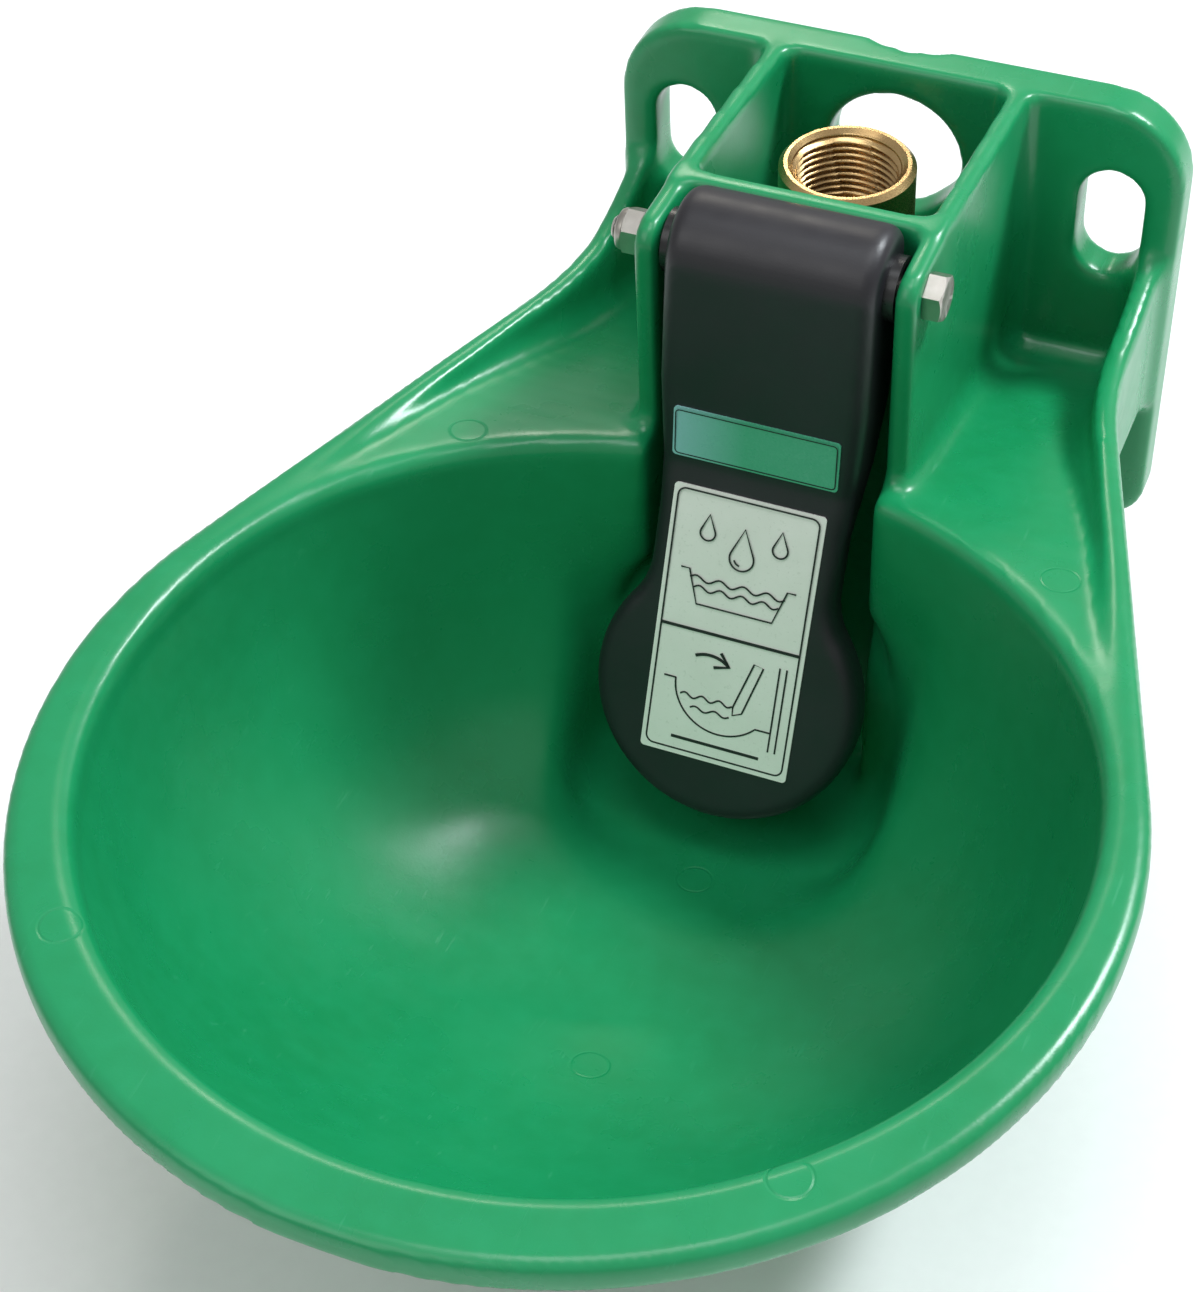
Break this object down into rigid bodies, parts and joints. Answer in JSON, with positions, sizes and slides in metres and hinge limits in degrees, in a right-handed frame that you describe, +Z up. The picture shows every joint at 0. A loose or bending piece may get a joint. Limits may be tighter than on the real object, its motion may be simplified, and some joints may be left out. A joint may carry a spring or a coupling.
{
  "type": "livestock drinking bowl",
  "caption": "Wall-mounted plastic livestock drinking bowl: a paddle pushed by the animal's muzzle opens a brass valve fed from a threaded inlet above.",
  "frame": {"origin": "on the back plate's mounting face, midway between the two mounting slots", "axes": "+X to the right seen from the front, +Y into the wall, +Z up; the bowl reaches out along -Y"},
  "size_m": [0.1866, 0.266, 0.1303],
  "materials": {
    "green_polypropylene": "satin, fine moulded texture",
    "black_nylon": "satin, fine grain",
    "teal_label": "printed film",
    "white_label": "printed film",
    "stainless_steel": "turned",
    "blue_nylon": "matte",
    "black_acetal": "smooth",
    "brass": "machined",
    "stainless_mesh": "punched sheet",
    "rubber": "matte",
    "white_acetal": "smooth",
    "spring_steel": "drawn wire"
  },
  "bodies": {
    "bowl": {"bowl_body": "green_polypropylene", "pivot_bolt": "stainless_steel", "pivot_nut": "stainless_steel", "nut_insert": "blue_nylon", "valve_body": "brass", "inlet_strainer": "stainless_mesh", "valve_gasket": "rubber", "lock_washer": "stainless_steel", "lock_nut": "brass", "valve_seat": "white_acetal", "stem_guide": "white_acetal", "valve_spring": "spring_steel", "end_plug": "brass", "plug_seal": "rubber"},
    "paddle": {"paddle": "black_nylon", "name_label": "teal_label", "instruction_label": "white_label", "pivot_bush_left": "black_acetal", "pivot_bush_right": "black_acetal"},
    "stem": {"valve_stem": "stainless_steel", "poppet_seal": "rubber"}
  },
  "joints": [
    {"name": "paddle_hinge", "type": "hinge", "parent": "bowl", "child": "paddle", "pos_m": [0, -0.0726, 0.0237], "axis": [1, 0, 0], "range_deg": [0, 6], "stiffness_Nm_per_rad": 2, "springref_deg": -6.88},
    {"name": "stem_slide", "type": "slide", "parent": "bowl", "child": "stem", "axis": [0, 1, 0], "range_m": [0, 0.0043], "deforming": ["valve_spring"]}
  ],
  "couplings": [
    {"joint": "stem_slide", "follows": "paddle_hinge", "m_per_rad": 0.041}
  ]
}
